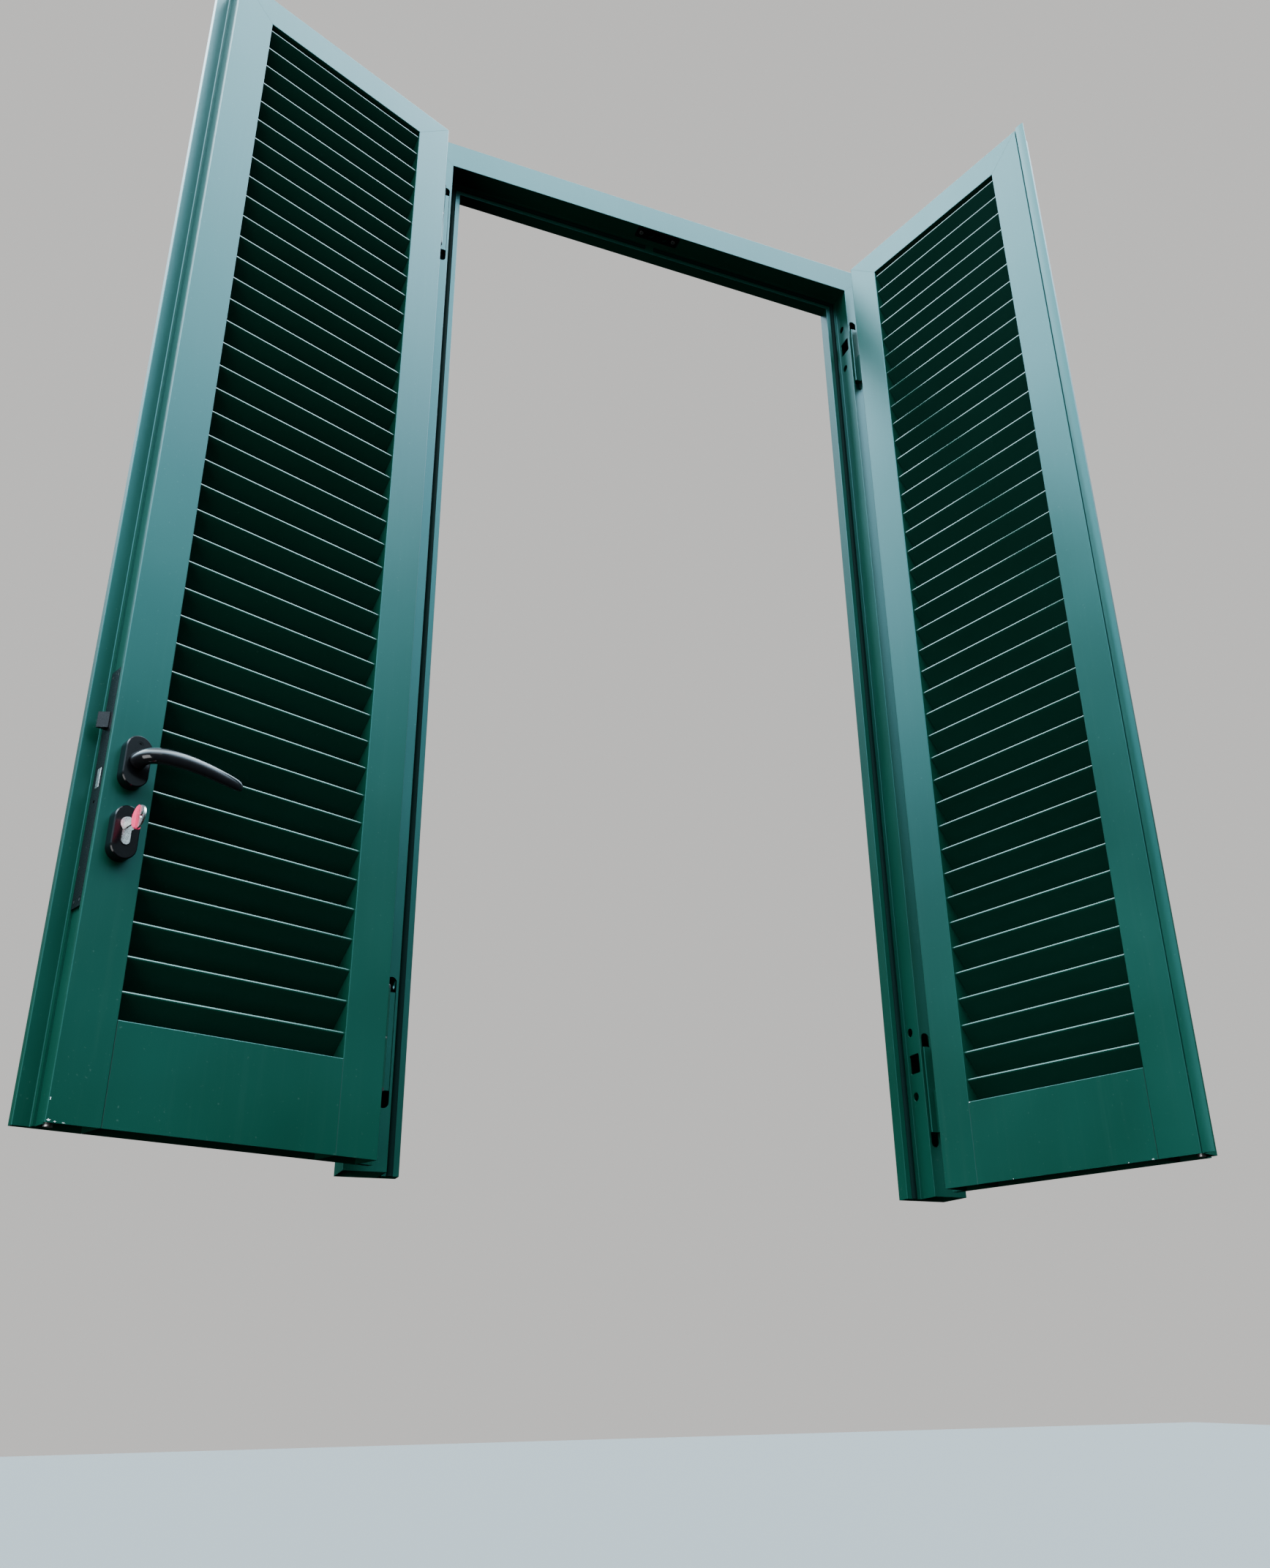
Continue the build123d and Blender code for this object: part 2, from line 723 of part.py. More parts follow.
def cylinder_profile(grow):
    """Keyhole-shaped cylinder outline with its leg down, grown by a clearance."""
    leg_half = cylinder_leg_width / 2
    foot = cylinder_height - cylinder_radius - leg_half
    leg = Pos(0, -foot / 2) * Rectangle(cylinder_leg_width + 2 * grow, foot)
    return Circle(cylinder_radius + grow) + leg + Pos(0, -foot) * Circle(leg_half + grow)


def faceplate_screw_spots():
    """Two screws side by side near each end of the faceplate, as Y and Z."""
    inset = faceplate_width / 3
    spread = faceplate_width * 0.29
    ends = (-faceplate_top_drop - inset, inset - faceplate_top_drop - faceplate_length)
    return [(side * spread - lock_line_depth, z) for z in ends for side in (-1, 1)]


def lock_faceplate():
    """Long plate in the leading edge with openings for the latch, the bolt and a screw."""
    half = faceplate_width / 2
    low = -faceplate_top_drop - faceplate_length
    plate = block(groove_floor, leaf_width, -lock_line_depth - half, half - lock_line_depth,
                  low, -faceplate_top_drop)
    for drop, height, thickness in lock_openings():
        reach = thickness / 2
        plate -= block(groove_floor, leaf_width, -lock_line_depth - reach,
                       reach - lock_line_depth, -drop - height / 2, height / 2 - drop)
    hole_z = -(bolt_drop + cylinder_drop) / 2
    plate -= rod_along((1, 0, 0), wing_screw_radius, faceplate_thickness,
                       (groove_floor, -lock_line_depth, hole_z))
    for y, z in faceplate_screw_spots():
        start = (groove_floor, y, z)
        plate -= rod_along((1, 0, 0), wing_screw_radius + pin_fit, faceplate_thickness, start)
        sink = (leaf_width - faceplate_thickness / 2, y, z)
        plate -= rod_along((1, 0, 0), 1.8 * wing_screw_radius, faceplate_thickness / 2, sink)
    return plate


def lock_openings():
    """Latch and bolt openings as drop, height and thickness."""
    grow = 2 * bolt_clearance
    return [
        (latch_drop, latch_height + grow, latch_thickness + grow),
        (bolt_drop, bolt_height + grow, bolt_thickness + grow),
    ]


def faceplate_screws():
    """Screws with flush heads, with a cross slot left plain."""
    screws = []
    for y, z in faceplate_screw_spots():
        start = (leaf_width - faceplate_screw_length, y, z)
        shank = rod_along((1, 0, 0), wing_screw_radius, faceplate_screw_length, start)
        head_start = (leaf_width - faceplate_thickness / 2, y, z)
        head = rod_along((1, 0, 0), 1.7 * wing_screw_radius, faceplate_thickness / 2, head_start)
        screws.append(shank + head)
    return screws


def lock_case():
    """Case behind the faceplate with cavities for the latch, bolt, spindle and cylinder."""
    half = lock_case_thickness / 2
    case = block(groove_floor - lock_case_depth, groove_floor, -lock_line_depth - half,
                 half - lock_line_depth, -case_bottom_drop, -case_top_drop)
    case -= latch_cavity(latch_drop, latch_height, latch_thickness, latch_back() - latch_length / 3)
    case -= latch_cavity(bolt_drop, bolt_height, bolt_thickness, leaf_width - bolt_length)
    front_y = half - lock_line_depth
    spindle_hole = Circle(spindle_size * 0.75)
    case -= extrude(room_plane(lock_x, front_y, -spindle_drop) * spindle_hole, lock_case_thickness)
    hole = cylinder_profile(cylinder_clearance)
    case -= extrude(room_plane(lock_x, front_y, -cylinder_drop) * hole, lock_case_thickness)
    for start_z, direction in ((-case_top_drop, -1), (-case_bottom_drop, 1)):
        start = (rod_x, rod_y, start_z)
        case -= rod_along((0, 0, direction), rod_radius + rod_fit, rod_travel + 4, start)
    return case


def latch_back():
    """Inner end of the latch at rest."""
    return leaf_width + latch_projection - latch_length


def latch_cavity(drop, height, thickness, back_x):
    """Clear way for a sliding bolt from its inner end to the faceplate."""
    grow = bolt_clearance
    return block(back_x - grow, groove_floor, -lock_line_depth - thickness / 2 - grow,
                 thickness / 2 + grow - lock_line_depth, -drop - height / 2 - grow,
                 height / 2 + grow - drop)


def latch_bolt():
    """Sprung latch with its slope on the room side."""
    half = latch_thickness / 2
    tip_x = leaf_width + latch_projection
    room_y = half - lock_line_depth
    street_y = -half - lock_line_depth
    shape = outline(
        (latch_back(), street_y),
        (tip_x, street_y),
        (tip_x, street_y + latch_thickness / 5),
        (leaf_width + 1, room_y),
        (latch_back(), room_y),
    )
    return extrude(level_plane(-latch_drop - latch_height / 2) * shape, latch_height)


def dead_bolt():
    """Square bolt, flush with the faceplate when unlocked."""
    half = bolt_thickness / 2
    bolt = block(leaf_width - bolt_length, leaf_width, -lock_line_depth - half,
                 half - lock_line_depth, -bolt_drop - bolt_height / 2, bolt_height / 2 - bolt_drop)
    return chamfer(bolt.faces().sort_by(Axis.X)[-1].edges(), 0.8)


def rose(drop, hole):
    """Tall oval cover on the stile's room face with one hole."""
    shape = stadium(rosette_width, rosette_height)
    body = extrude(room_plane(lock_x, rosette_thickness, -drop) * shape, rosette_thickness)
    rim = body.faces().sort_by(Axis.Y)[-1].edges()
    body = chamfer(rim, rosette_edge)
    return body - hole


def handle_rosette():
    """Rosette bored for the spindle, with a pocket for its screw."""
    bore = extrude(room_plane(lock_x, rosette_thickness, -spindle_drop) * Circle(spindle_size * 0.8),
                   rosette_thickness)
    pocket = rod_along((0, -1, 0), 1.6 * wing_screw_radius, 2,
                       (lock_x, rosette_thickness, rosette_screw_z()))
    return rose(spindle_drop, bore + pocket)


def rosette_screw_z():
    """Height of the rosette's screw, above the handle."""
    return rosette_height / 3 - spindle_drop


def rosette_screw():
    """Socket screw sunk in the rosette."""
    start = (lock_x, rosette_thickness - 2, rosette_screw_z())
    head = rod_along((0, 1, 0), 1.5 * wing_screw_radius, 1.6, start)
    socket_start = (lock_x, rosette_thickness - 1.4, rosette_screw_z())
    return head - rod_along((0, 1, 0), 0.8 * wing_screw_radius, 2, socket_start)


def escutcheon():
    """Second cover of the same shape around the cylinder."""
    hole_plane = room_plane(lock_x, rosette_thickness, -cylinder_drop)
    hole = extrude(hole_plane * cylinder_profile(cylinder_clearance / 2), rosette_thickness)
    return rose(escutcheon_drop, hole)


def handle_spindle():
    """Square spindle from the lock case into the handle."""
    depth = lock_line_depth + lock_case_thickness / 2
    outer_y = rosette_thickness + handle_reach / 3
    bar = Rectangle(spindle_size, spindle_size)
    return extrude(room_plane(lock_x, outer_y, -spindle_drop) * bar, outer_y + depth)


def lever_handle():
    """Lever on a round neck, tapering and curving towards the hinge side."""
    far = -handle_length
    root = handle_root_radius
    tip = handle_tip_height / 2
    droop = -handle_droop
    face_shape = make_face(
        ThreePointArc((0, root), (far / 2, droop / 4 + 1.35 * tip), (far, droop + tip))
        + ThreePointArc((far, droop + tip), (far - tip, droop), (far, droop - tip))
        + ThreePointArc((far, droop - tip), (far / 2, droop / 4 - 1.7 * tip), (0, -root))
        + ThreePointArc((0, -root), (root, 0), (0, root))
    )
    arm = extrude(room_plane(lock_x, handle_reach + 2 * root, -spindle_drop) * face_shape, 4 * root)
    back_y = handle_reach - 1.2 * root
    side_shape = make_face(
        ThreePointArc((root, back_y + 2), (far / 2, handle_reach + 0.5 * root),
                      (far - tip, handle_reach - 0.2 * root))
        + Line((far - tip, handle_reach - 0.2 * root), (far - tip, handle_reach - 0.9 * root))
        + ThreePointArc((far - tip, handle_reach - 0.9 * root), (far / 2, back_y + 0.5 * root),
                        (root, back_y - 0.9 * root))
        + Line((root, back_y - 0.9 * root), (root, back_y + 2))
    )
    side_plane = Plane((lock_x, 0, -spindle_drop - 3 * root), x_dir=(1, 0, 0), z_dir=(0, 0, 1))
    arm = arm & extrude(side_plane * side_shape, 6 * root)
    neck_start = (lock_x, rosette_thickness + handle_running_gap, -spindle_drop)
    neck_length = back_y - rosette_thickness
    neck = rod_along((0, 1, 0), 0.85 * root, neck_length, neck_start)
    bore = extrude(room_plane(lock_x, rosette_thickness + handle_reach / 3 + pin_fit, -spindle_drop)
                   * Rectangle(spindle_size + pin_fit, spindle_size + pin_fit), handle_reach / 3)
    return arm + neck - bore


def cylinder_front():
    """Height of the cylinder's front above the stile's room face."""
    return rosette_thickness + cylinder_projection


def lock_cylinder():
    """Cylinder body bored for the plug."""
    length = cylinder_front() + cylinder_inner_length
    plane = room_plane(lock_x, cylinder_front(), -cylinder_drop)
    body = extrude(plane * cylinder_profile(0), length)
    return body - extrude(plane * Circle(plug_radius), key_insertion + 3)


def cylinder_plug():
    """Turning plug with the key's slot."""
    plane = room_plane(lock_x, cylinder_front(), -cylinder_drop)
    plug = extrude(plane * Circle(plug_radius - plug_fit), key_insertion + 2)
    slot = Rectangle(key_thickness + plug_fit, key_width + plug_fit)
    return plug - extrude(plane * slot, key_insertion + plug_fit)


def key_blade():
    """Key pushed home, with a round bow and a ring hole at its far end."""
    front = cylinder_front()
    bow_y = front + key_neck + key_head_radius
    blade = block(lock_x - key_thickness / 2, lock_x + key_thickness / 2, front - key_insertion,
                  bow_y, -cylinder_drop - key_width / 2, key_width / 2 - cylinder_drop)
    bow = rod_along((1, 0, 0), key_head_radius, key_thickness,
                    (lock_x - key_thickness / 2, bow_y, -cylinder_drop))
    hole_y = bow_y + key_head_radius - 2 * key_ring_hole_radius
    hole = rod_along((1, 0, 0), key_ring_hole_radius, key_thickness,
                     (lock_x - key_thickness / 2, hole_y, -cylinder_drop))
    return blade + bow - hole


def key_cap():
    """Soft cap over the near part of the bow."""
    bow_y = cylinder_front() + key_neck + key_head_radius
    half = key_cap_thickness / 2
    disc = rod_along((1, 0, 0), key_head_radius + 1, key_cap_thickness,
                     (lock_x - half, bow_y, -cylinder_drop))
    rims = disc.edges().filter_by(GeomType.CIRCLE)
    disc = chamfer(rims, key_cap_thickness / 5)
    cut_y = bow_y + key_head_radius - 4.2 * key_ring_hole_radius
    reach = 2 * key_head_radius
    disc -= block(lock_x - half, lock_x + half, cut_y, cut_y + reach,
                  -cylinder_drop - reach, reach - cylinder_drop)
    gap = key_thickness / 2 + pin_fit
    grip = key_width / 2 + pin_fit
    disc -= rod_along((1, 0, 0), key_head_radius + pin_fit, 2 * gap,
                      (lock_x - gap, bow_y, -cylinder_drop))
    return disc - block(lock_x - gap, lock_x + gap, bow_y - reach, bow_y,
                        -cylinder_drop - grip, grip - cylinder_drop)


# Rods

def rod_guide(middle_z):
    """Block in the leading stile that carries a rod past the room-side wall."""
    half = guide_height / 2
    guide = block(rod_x - guide_size, groove_floor - leaf_wall, rod_y - guide_size / 2 - 2,
                  -leaf_wall, middle_z - half, middle_z + half)
    return guide - rod_along((0, 0, 1), rod_radius + rod_fit, guide_height,
                             (rod_x, rod_y, middle_z - half))


def left_guide_spots():
    """Middles of the left leaf's guides: two above the lock and two below it."""
    first = -top_rail_height - 2 * guide_height
    faceplate_foot = -faceplate_top_drop - faceplate_length
    below_lock = faceplate_foot - guide_clearance - guide_height / 2
    return (first, first - guide_spacing, below_lock, -leaf_height - first)


def right_guide_spots():
    """Middles of the right leaf's guides, two on each short rod."""
    first = -top_rail_height - 2 * guide_height
    second = -shoot_rod_length + 3 * guide_height
    return (first, second, -leaf_height - second, -leaf_height - first)


def long_rods():
    """Left leaf's rods from the lock case to the leaf's top and bottom."""
    upper_start = -case_top_drop - rod_travel - 2
    upper = rod_along((0, 0, 1), rod_radius, -rod_top_recess - upper_start,
                      (rod_x, rod_y, upper_start))
    lower_start = -leaf_height - rod_foot_show
    lower = rod_along((0, 0, 1), rod_radius, rod_travel + 2 - case_bottom_drop - lower_start,
                      (rod_x, rod_y, lower_start))
    return upper, lower


def shoot_slots():
    """Slots of the right leaf's thumb tabs as low and high Z."""
    reach = shoot_tab_height / 2 + strike_margin
    upper = shoot_tab_drop() * -1
    lower = shoot_tab_drop() - leaf_height
    return [(upper - reach, upper + reach + rod_travel), (lower - reach - rod_travel, lower + reach)]


def shoot_tab_drop():
    """Distance of a thumb tab from its end of the leaf."""
    return shoot_rod_length - shoot_tab_height


def short_rods():
    """Right leaf's rods, each moved by a thumb tab in the leading edge."""
    upper = rod_along((0, 0, 1), rod_radius, shoot_rod_length - rod_top_recess,
                      (rod_x, rod_y, -shoot_rod_length))
    lower = rod_along((0, 0, 1), rod_radius, shoot_rod_length + rod_foot_show,
                      (rod_x, rod_y, -leaf_height - rod_foot_show))
    half = shoot_tab_width / 2
    height = shoot_tab_height / 2
    end_x = leaf_width + shoot_tab_projection
    tabs = [
        block(rod_x, end_x, rod_y - half, rod_y + half, z - height, z + height)
        for z in (-shoot_tab_drop(), shoot_tab_drop() - leaf_height)
    ]
    return upper + tabs[0], lower + tabs[1]


# Right leaf's edge pieces

def cover_strip():
    """Strip stood off the leading edge that laps the left leaf's room face."""
    start = leaf_width + strip_groove
    end = start + strip_width
    riser_near = start - strip_lip
    riser_far = start + 0.6
    front = strip_standoff + strip_thickness
    web_back = -strip_web_depth - strip_web_thickness
    foot = between(leaf_width, leaf_width + 1.5, web_back - 2, 1 - strip_web_depth)
    web = between(leaf_width, riser_far, web_back, -strip_web_depth)
    riser = between(riser_near, riser_far, web_back, front - 1)
    blade = make_face(
        Line((riser_near, strip_standoff), (end, strip_standoff))
        + Line((end, strip_standoff), (end, strip_standoff + strip_thickness / 2))
        + ThreePointArc((end, strip_standoff + strip_thickness / 2), ((start + end) / 2, front),
                        (riser_near, front - 0.6))
        + Line((riser_near, front - 0.6), (riser_near, strip_standoff))
    )
    section = foot + web + riser + blade
    return extrude(level_plane(-leaf_height) * section, leaf_height)


def strike_plate():
    """Plate on the right leaf's leading edge around the latch and bolt pockets."""
    middle = -(latch_drop + bolt_drop) / 2
    half = faceplate_width / 2
    plate = block(leaf_width, leaf_width + strike_plate_thickness, -lock_line_depth - half + 1,
                  half - 1 - lock_line_depth, middle - strike_plate_length / 2,
                  middle + strike_plate_length / 2)
    for drop, height, thickness in strike_pockets():
        reach = thickness / 2
        plate -= block(leaf_width, leaf_width + strike_plate_thickness, -lock_line_depth - reach,
                       reach - lock_line_depth, -drop - height / 2, height / 2 - drop)
    return plate


# Writing the nodes

def save(node, shapes):
    """Write one node as its separate solids."""
    solids = [solid for shape in shapes for solid in shape.solids()]
    group = Compound(solids)
    group.label = node
    export_step(group, os.path.join("parts", node + ".step"))


def save_left(node, shapes):
    """Write a node of the left leaf."""
    save(node, [left_leaf_placed(shape) for shape in shapes])


def save_right(node, shapes):
    """Write a node of the right leaf."""
    save(node, [right_leaf_placed(shape) for shape in shapes])


os.makedirs("parts", exist_ok=True)
left_drops = (left_top_hinge_drop, left_bottom_hinge_drop)
right_drops = (right_top_hinge_drop, right_bottom_hinge_drop)
all_hinges = [(-1, drop) for drop in left_drops] + [(1, drop) for drop in right_drops]

save("frame_head", [frame_head()])
save("frame_jamb_left", [frame_jamb(-1, left_drops)])
save("frame_jamb_right", [frame_jamb(1, right_drops)])
save("frame_corner_keys", frame_corner_keys())
save("frame_seals", frame_seals())
save("head_strike_plate", [head_strike_plate()])
save("strike_screws", strike_screws())
save("left_hinge_bases", [hinge_base(-1, drop) for drop in left_drops])
save("right_hinge_bases", [hinge_base(1, drop) for drop in right_drops])
save("hinge_pins", [hinge_pin(side, drop) for side, drop in all_hinges])
save("hinge_rings", [hinge_ring(side, drop) for side, drop in all_hinges])
save("hinge_caps", [cap for side, drop in all_hinges for cap in hinge_caps(side, drop)])

upper_rod, lower_rod = long_rods()
right_upper, right_lower = short_rods()
for save_leaf, leaf, drops in ((save_left, "left_", left_drops), (save_right, "right_", right_drops)):
    save_leaf(leaf + "hinge_stile", [hinge_stile(drops)])
    save_leaf(leaf + "top_rail", [top_rail(leaf == "right_")])
    save_leaf(leaf + "bottom_rail", [bottom_rail()])
    save_leaf(leaf + "slats", slats())
    save_leaf(leaf + "corner_keys", leaf_corner_keys())
    save_leaf(leaf + "hinge_wings", [hinge_wing(drop) for drop in drops])
    save_leaf(leaf + "wing_screws", wing_screws(drops))

save_left("left_rod_guides", [rod_guide(z) for z in left_guide_spots()])
save_right("right_rod_guides", [rod_guide(z) for z in right_guide_spots()])
save_left("left_lock_stile", [lock_stile()])
save_left("lock_case", [lock_case()])
save_left("lock_faceplate", [lock_faceplate()])
save_left("faceplate_screws", faceplate_screws())
save_left("latch_bolt", [latch_bolt()])
save_left("dead_bolt", [dead_bolt()])
save_left("handle_rosette", [handle_rosette()])
save_left("rosette_screw", [rosette_screw()])
save_left("escutcheon", [escutcheon()])
save_left("handle_spindle", [handle_spindle()])
save_left("lever_handle", [lever_handle()])
save_left("lock_cylinder", [lock_cylinder()])
save_left("cylinder_plug", [cylinder_plug()])
save_left("key_blade", [key_blade()])
save_left("key_cap", [key_cap()])
save_left("left_upper_rod", [upper_rod])
save_left("left_lower_rod", [lower_rod])

save_right("right_meeting_stile", [meeting_stile()])
save_right("right_cover_strip", [cover_strip()])
save_right("right_strike_plate", [strike_plate()])
save_right("right_upper_rod", [right_upper])
save_right("right_lower_rod", [right_lower])
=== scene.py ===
import bpy
import bmesh
import json
import math
from mathutils import Matrix, Vector


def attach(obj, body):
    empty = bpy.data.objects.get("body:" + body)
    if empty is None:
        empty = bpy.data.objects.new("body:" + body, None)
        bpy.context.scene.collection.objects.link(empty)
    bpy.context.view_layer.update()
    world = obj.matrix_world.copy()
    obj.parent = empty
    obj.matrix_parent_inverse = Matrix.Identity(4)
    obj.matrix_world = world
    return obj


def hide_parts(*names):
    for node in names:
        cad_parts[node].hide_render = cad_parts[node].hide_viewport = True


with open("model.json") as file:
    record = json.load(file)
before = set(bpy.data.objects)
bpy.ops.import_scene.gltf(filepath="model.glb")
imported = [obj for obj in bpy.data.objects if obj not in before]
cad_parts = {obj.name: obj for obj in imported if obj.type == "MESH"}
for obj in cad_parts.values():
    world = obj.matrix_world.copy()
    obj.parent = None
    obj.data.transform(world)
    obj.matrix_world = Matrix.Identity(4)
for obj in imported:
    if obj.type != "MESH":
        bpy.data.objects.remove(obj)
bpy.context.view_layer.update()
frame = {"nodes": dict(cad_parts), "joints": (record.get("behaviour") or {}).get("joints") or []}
nodes = frame["nodes"]


# Camera: low and left of the opening, on its outer side, looking up and to the right.
# The lens covers the photograph's full height.
camera_data = bpy.data.cameras.new("camera")
camera_data.sensor_fit = "VERTICAL"
camera_data.sensor_height = 36.0
camera_data.lens = 29.985
camera_data.clip_start = 0.05
camera = bpy.data.objects.new("camera", camera_data)
bpy.context.scene.collection.objects.link(camera)
bpy.context.scene.camera = camera
camera_place = (-0.7651, -1.7609, -2.0142)
pitch, yaw, roll = (math.radians(a) for a in (24.3044, 22.3860, -0.6042))
forward = Vector((math.sin(yaw) * math.cos(pitch), math.cos(yaw) * math.cos(pitch), math.sin(pitch)))
level = Vector((math.cos(yaw), -math.sin(yaw), 0.0))
upright = level.cross(forward)
right = level * math.cos(roll) + upright * math.sin(roll)
up = upright * math.cos(roll) - level * math.sin(roll)
turn = Matrix((right, up, -forward)).transposed().to_4x4()
camera.matrix_world = Matrix.Translation(camera_place) @ turn


# Soft light in a plain studio: a broad bright dome high up that the coat mirrors at a slant,
# a dim band at eye level and a dark underside, so that faces turned down stay deep. The dome
# is brighter on the outer side than behind the object.
def ranged(tree, source, low, high, to_low, to_high):
    """A value taken from one range to another, clamped."""
    step = tree.nodes.new("ShaderNodeMapRange")
    step.inputs["From Min"].default_value = low
    step.inputs["From Max"].default_value = high
    step.inputs["To Min"].default_value = to_low
    step.inputs["To Max"].default_value = to_high
    tree.links.new(source, step.inputs["Value"])
    return step.outputs[0]


def new_material(name):
    """A material with its node tree and its shader."""
    material = bpy.data.materials.new(name)
    material.use_nodes = True
    return material, material.node_tree, material.node_tree.nodes["Principled BSDF"]


world = bpy.data.worlds.new("studio")
bpy.context.scene.world = world
world.use_nodes = True
sky = world.node_tree
sky.nodes.clear()
split = sky.nodes.new("ShaderNodeSeparateXYZ")
sky.links.new(sky.nodes.new("ShaderNodeTexCoord").outputs["Generated"], split.inputs[0])
dome_tilt = -0.09
rise = sky.nodes.new("ShaderNodeMath")
rise.operation = "MULTIPLY_ADD"
rise.inputs[1].default_value = dome_tilt
sky.links.new(split.outputs["X"], rise.inputs[0])
sky.links.new(split.outputs["Z"], rise.inputs[2])
dome = sky.nodes.new("ShaderNodeValToRGB")
bands = dome.color_ramp.elements
bands[0].position, bands[0].color = 0.0, (0.004, 0.004, 0.004, 1.0)
bands[1].position, bands[1].color = 1.0, (0.34, 0.42, 0.48, 1.0)
for position, colour in (
    (0.10, (0.010, 0.011, 0.012, 1)),
    (0.30, (0.035, 0.045, 0.048, 1)),
    (0.48, (0.24, 0.34, 0.41, 1)),
    (0.62, (0.95, 1.30, 1.60, 1)),
    (0.76, (1.75, 2.25, 2.60, 1)),
    (0.87, (2.2, 2.7, 3.0, 1)),
    (0.94, (0.40, 0.52, 0.60, 1)),
):
    bands.new(position).color = colour
sky.links.new(rise.outputs[0], dome.inputs[0])
bright, dim = 6.5, 1.3
daylight = sky.nodes.new("ShaderNodeBackground")
sky.links.new(ranged(sky, split.outputs["Y"], 0.40, 0.60, bright, dim), daylight.inputs["Strength"])
sky.links.new(dome.outputs[0], daylight.inputs["Color"])
plain = sky.nodes.new("ShaderNodeBackground")
plain.inputs["Color"].default_value = (0.78, 0.77, 0.75, 1.0)
plain.inputs["Strength"].default_value = 0.9
choose = sky.nodes.new("ShaderNodeMixShader")
sky.links.new(sky.nodes.new("ShaderNodeLightPath").outputs["Is Camera Ray"], choose.inputs[0])
sky.links.new(daylight.outputs[0], choose.inputs[1])
sky.links.new(plain.outputs[0], choose.inputs[2])
sky.links.new(choose.outputs[0], sky.nodes.new("ShaderNodeOutputWorld").inputs["Surface"])

floor_half, floor_z = 14, -2.7
floor_corners = [(x * floor_half, y * floor_half, floor_z) for x, y in ((-1, -1), (1, -1), (1, 1), (-1, 1))]
floor_mesh = bpy.data.meshes.new("floor")
floor_mesh.from_pydata(floor_corners, [], [(0, 1, 2, 3)])
floor = bpy.data.objects.new("floor", floor_mesh)
bpy.context.scene.collection.objects.link(floor)
floor_paint, _, floor_shader = new_material("floor_paint")
floor_shader.inputs["Base Color"].default_value = (0.13, 0.13, 0.125, 1.0)
floor_shader.inputs["Roughness"].default_value = 0.9
floor_mesh.materials.append(floor_paint)
floor.visible_diffuse = False
floor.visible_glossy = False

lamp_target = Vector((0.3, 0.0, -0.9))
for name, spot, energy, size in (("front_lamp", (-1.4, -4.2, 0.9), 28.0, 3.0),
                                 ("low_lamp", (-2.1, -1.5, -2.0), 26.0, 1.2)):
    lamp = bpy.data.lights.new(name, "AREA")
    lamp.energy = energy
    lamp.size = size
    lamp_object = bpy.data.objects.new(name, lamp)
    bpy.context.scene.collection.objects.link(lamp_object)
    aim = (lamp_target - Vector(spot)).to_track_quat("-Z", "Y")
    lamp_object.matrix_world = Matrix.Translation(spot) @ aim.to_matrix().to_4x4()


# Powder coat, shared by every green piece. The group gives its fine pebbled height, slow
# fading, faint rain streaks that run down, and the dust that settles on upward faces.
def link_noise(tree, scale, detail, source, spread=0.55):
    """A noise texture read at a point, as a factor around one half."""
    noise = tree.nodes.new("ShaderNodeTexNoise")
    noise.inputs["Scale"].default_value = scale
    noise.inputs["Detail"].default_value = detail
    noise.inputs["Roughness"].default_value = spread
    tree.links.new(source, noise.inputs["Vector"])
    return noise.outputs["Fac"]


def stretched(tree, source, scale):
    """The same point with each axis scaled, for streaks and brushed lines."""
    mapping = tree.nodes.new("ShaderNodeMapping")
    mapping.inputs["Scale"].default_value = scale
    tree.links.new(source, mapping.inputs["Vector"])
    return mapping.outputs["Vector"]


def own_point(tree):
    """The point in the piece's own coordinates."""
    return tree.nodes.new("ShaderNodeTexCoord").outputs["Object"]


weather = bpy.data.node_groups.new("coat_weather", "ShaderNodeTree")
for socket in ("Grain", "Fade", "Streak", "Dust", "Speck"):
    weather.interface.new_socket(socket, in_out="OUTPUT", socket_type="NodeSocketFloat")
end = weather.nodes.new("NodeGroupOutput")
here = own_point(weather)
grain = link_noise(weather, 950.0, 2.0, here)
fade = ranged(weather, link_noise(weather, 3.2, 3.0, here), 0.3, 0.7, 0.0, 1.0)
run_down = stretched(weather, here, (95.0, 95.0, 2.6))
streak = ranged(weather, link_noise(weather, 1.0, 4.0, run_down, 0.7), 0.52, 0.78, 0.0, 1.0)
speck = ranged(weather, link_noise(weather, 260.0, 2.0, here, 0.5), 0.70, 0.76, 0.0, 1.0)
facing = weather.nodes.new("ShaderNodeSeparateXYZ")
geometry = weather.nodes.new("ShaderNodeNewGeometry")
weather.links.new(geometry.outputs["Normal"], facing.inputs[0])
settle = ranged(weather, facing.outputs["Z"], 0.25, 0.95, 0.0, 1.0)
patchy = ranged(weather, link_noise(weather, 60.0, 4.0, here, 0.7), 0.3, 0.65, 0.35, 1.0)
dusting = weather.nodes.new("ShaderNodeMath")
dusting.operation = "MULTIPLY"
weather.links.new(settle, dusting.inputs[0])
weather.links.new(patchy, dusting.inputs[1])
for socket, source in (("Grain", grain), ("Fade", fade), ("Streak", streak),
                       ("Dust", dusting.outputs[0]), ("Speck", speck)):
    weather.links.new(source, end.inputs[socket])


def mixed(tree, factor, first, second):
    """Two colours mixed by a factor; each is a socket or a plain colour."""
    mix = tree.nodes.new("ShaderNodeMix")
    mix.data_type = "RGBA"
    tree.links.new(factor, mix.inputs["Factor"])
    for key, value in (("A", first), ("B", second)):
        socket = [s for s in mix.inputs if s.name == key and s.type == "RGBA"][0]
        if isinstance(value, tuple):
            socket.default_value = value
        else:
            tree.links.new(value, socket)
    return [s for s in mix.outputs if s.type == "RGBA"][0]


